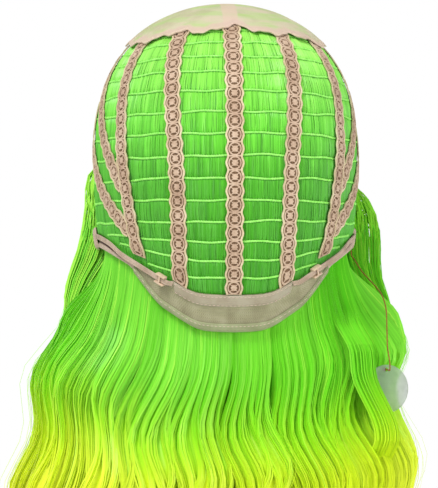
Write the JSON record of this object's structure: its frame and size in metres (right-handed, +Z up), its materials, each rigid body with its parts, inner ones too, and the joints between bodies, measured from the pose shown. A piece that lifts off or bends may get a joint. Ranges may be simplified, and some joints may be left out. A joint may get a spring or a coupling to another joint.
{
  "type": "costume wig",
  "caption": "Long wavy two-tone synthetic wig with its cap turned inside out, showing weft rows, lace straps, a net crown, a nape band, adjuster straps with sliders and a hanging tag.",
  "frame": {"origin": "middle of the head space inside the cap, at the cap's widest level", "axes": "+Z up through the crown, -Y out of the nape, +Y out of the face opening, +X to the wearer's right"},
  "size_m": [0.2562, 0.1875, 0.4749],
  "materials": {
    "net": "sheer beige net",
    "lace": "beige-brown lace ribbon",
    "tape": "woven beige tape",
    "nape_panel": "olive-beige woven panel",
    "elastic": "ribbed elastic",
    "slider_plastic": "moulded beige",
    "stay_metal": "bendable strip",
    "weft_hair": "glossy green synthetic hair",
    "hanging_hair": "glossy synthetic hair, green fading to yellow",
    "thread": "twisted brown thread",
    "tag_plastic": "translucent grey"
  },
  "bodies": {
    "cap": {"crown_net": "net", "front_lace": "lace", "centre_strap": "lace", "inner_strap_left": "lace", "inner_strap_right": "lace", "outer_strap_left": "lace", "outer_strap_right": "lace", "side_strap_left": "lace", "side_strap_right": "lace", "temple_strap_left": "lace", "temple_strap_right": "lace", "front_binding": "tape", "nape_upper_tape": "tape", "nape_lower_binding": "tape", "side_band_left": "tape", "side_band_right": "tape", "ear_tab_left": "tape", "ear_tab_right": "tape", "nape_band": "nape_panel", "elastic_strap_left": "elastic", "elastic_strap_right": "elastic", "ear_tab_stay_left": "stay_metal", "ear_tab_stay_right": "stay_metal", "weft_row_01": "weft_hair", "weft_row_02": "weft_hair", "weft_row_03": "weft_hair", "weft_row_04": "weft_hair", "weft_row_05": "weft_hair", "weft_row_06": "weft_hair", "weft_row_07": "weft_hair", "weft_row_08": "weft_hair", "weft_row_09": "weft_hair", "weft_row_10": "weft_hair", "weft_row_11": "weft_hair", "weft_row_12": "weft_hair", "weft_row_13": "weft_hair", "weft_row_14": "weft_hair", "weft_row_15": "weft_hair", "hair_lock_01": "hanging_hair", "hair_lock_02": "hanging_hair", "hair_lock_03": "hanging_hair", "hair_lock_04": "hanging_hair", "hair_lock_05": "hanging_hair", "hair_lock_06": "hanging_hair", "hair_lock_07": "hanging_hair", "hair_lock_08": "hanging_hair", "hair_lock_09": "hanging_hair", "hair_lock_10": "hanging_hair", "hair_lock_11": "hanging_hair", "hair_lock_12": "hanging_hair", "hair_lock_13": "hanging_hair", "hair_lock_14": "hanging_hair", "hair_lock_15": "hanging_hair", "hair_lock_16": "hanging_hair", "tag_thread": "thread", "thread_knot": "thread"},
    "left_slider": {"adjuster_slider_left": "slider_plastic"},
    "right_slider": {"adjuster_slider_right": "slider_plastic"},
    "tag": {"round_tag": "tag_plastic"}
  },
  "joints": [
    {"name": "left_slider_slide", "type": "slide", "parent": "cap", "child": "left_slider", "axis": [-0.6923, 0.5661, 0.4474], "range_m": [-0.0005, 0.025]},
    {"name": "right_slider_slide", "type": "slide", "parent": "cap", "child": "right_slider", "axis": [0.6923, 0.5661, 0.4474], "range_m": [-0.011, 0.014]},
    {"name": "tag_swing", "type": "hinge", "parent": "cap", "child": "tag", "pos_m": [0.09755, -0.04942, -0.1212], "axis": [0.3746, -0.9272, 0], "range_deg": [-30, 30]}
  ]
}
